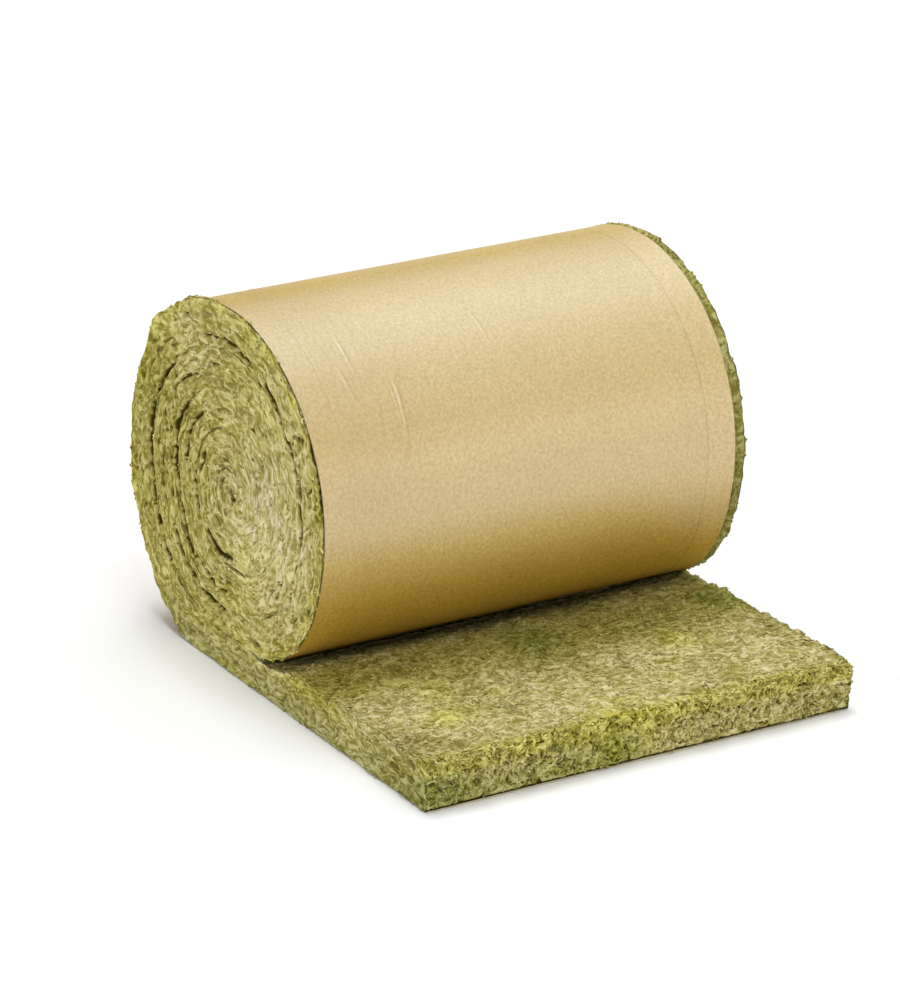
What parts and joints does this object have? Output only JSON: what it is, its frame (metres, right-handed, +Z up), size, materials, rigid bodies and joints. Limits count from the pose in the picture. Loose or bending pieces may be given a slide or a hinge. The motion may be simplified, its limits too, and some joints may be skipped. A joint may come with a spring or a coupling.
{
  "type": "insulation roll",
  "caption": "Mineral wool mat with a kraft paper facing, wound paper side out into a roll, its outer end unrolled flat on the floor.",
  "frame": {"origin": "on the floor, at the middle of the footprint of the roll and its tail", "axes": "+X runs along the unrolled tail, away from the roll; +Y along the roll's axis; +Z up"},
  "size_m": [0.6946, 0.6, 0.4613],
  "materials": {
    "mineral_wool": "matt, loose yellow-green stone wool fibre",
    "kraft_paper": "smooth brown kraft paper with a soft sheen"
  },
  "bodies": {
    "root": {"wool_mat": "mineral_wool", "kraft_facing": "kraft_paper"}
  },
  "joints": []
}
